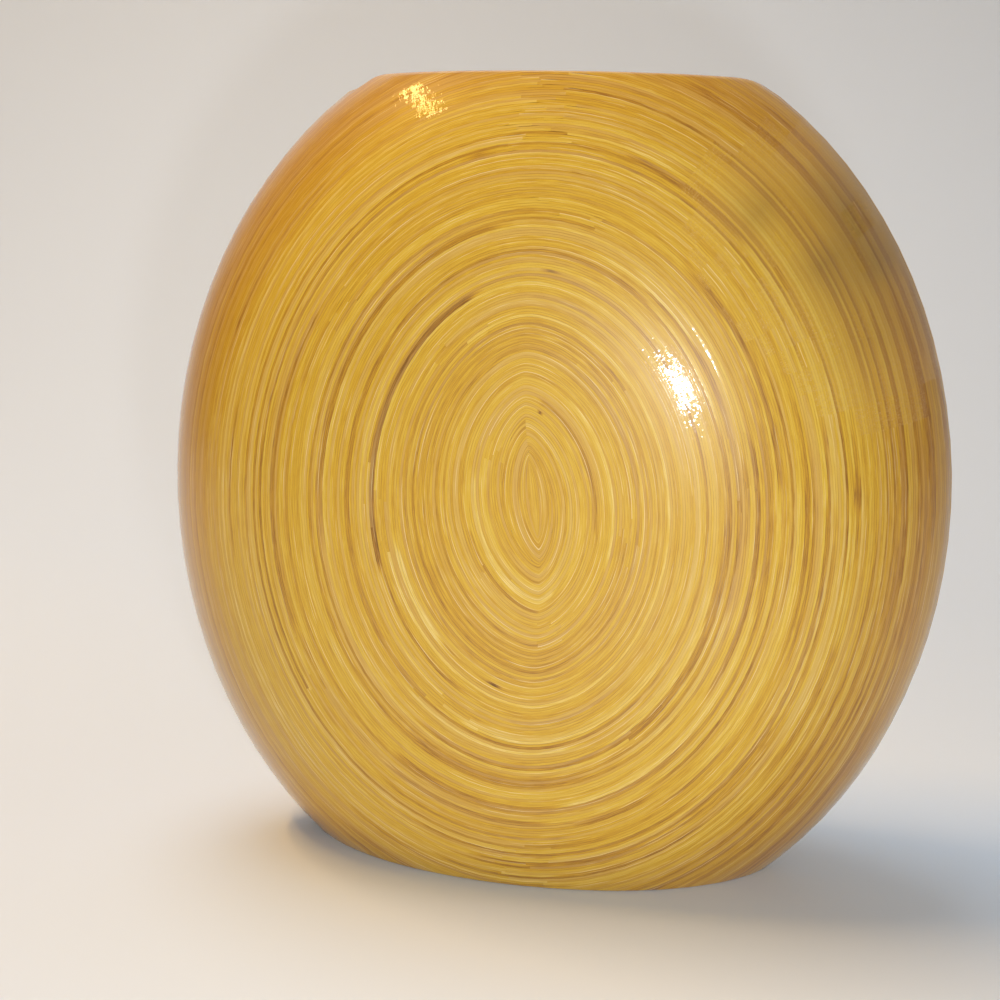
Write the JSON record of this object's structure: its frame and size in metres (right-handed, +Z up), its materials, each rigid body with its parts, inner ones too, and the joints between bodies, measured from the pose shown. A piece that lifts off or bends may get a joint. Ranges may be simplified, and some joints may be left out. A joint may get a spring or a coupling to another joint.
{
  "type": "spun bamboo vase",
  "caption": "Flat disc-shaped vase: two shallow oval dishes wound from bamboo strips, glued rim to rim, with an open lens-shaped mouth and a flat foot closed by a board.",
  "frame": {"origin": "middle of the flat foot, on the surface that the vase stands on", "axes": "+Z up, -Y out of the front dish, +X to the right of a viewer who looks at the front"},
  "size_m": [0.307, 0.12, 0.3051],
  "materials": {
    "bamboo": "clear gloss lacquer over bamboo strips",
    "board": "plain plywood, unseen when the vase stands"
  },
  "bodies": {
    "root": {"back_course_01": "bamboo", "back_course_02": "bamboo", "back_course_03": "bamboo", "back_course_04": "bamboo", "back_course_05": "bamboo", "back_course_06": "bamboo", "back_course_07": "bamboo", "back_course_08": "bamboo", "back_course_09": "bamboo", "back_course_10": "bamboo", "back_course_11": "bamboo", "back_course_12": "bamboo", "back_course_13": "bamboo", "back_course_14": "bamboo", "back_course_15": "bamboo", "back_course_16": "bamboo", "back_course_17": "bamboo", "back_course_18": "bamboo", "back_course_19": "bamboo", "back_course_20": "bamboo", "back_course_21": "bamboo", "back_course_22": "bamboo", "back_course_23": "bamboo", "back_course_24": "bamboo", "back_course_25": "bamboo", "back_course_26": "bamboo", "back_eye": "bamboo", "foot_board": "board", "front_course_01": "bamboo", "front_course_02": "bamboo", "front_course_03": "bamboo", "front_course_04": "bamboo", "front_course_05": "bamboo", "front_course_06": "bamboo", "front_course_07": "bamboo", "front_course_08": "bamboo", "front_course_09": "bamboo", "front_course_10": "bamboo", "front_course_11": "bamboo", "front_course_12": "bamboo", "front_course_13": "bamboo", "front_course_14": "bamboo", "front_course_15": "bamboo", "front_course_16": "bamboo", "front_course_17": "bamboo", "front_course_18": "bamboo", "front_course_19": "bamboo", "front_course_20": "bamboo", "front_course_21": "bamboo", "front_course_22": "bamboo", "front_course_23": "bamboo", "front_course_24": "bamboo", "front_course_25": "bamboo", "front_course_26": "bamboo", "front_eye": "bamboo"}
  },
  "joints": []
}
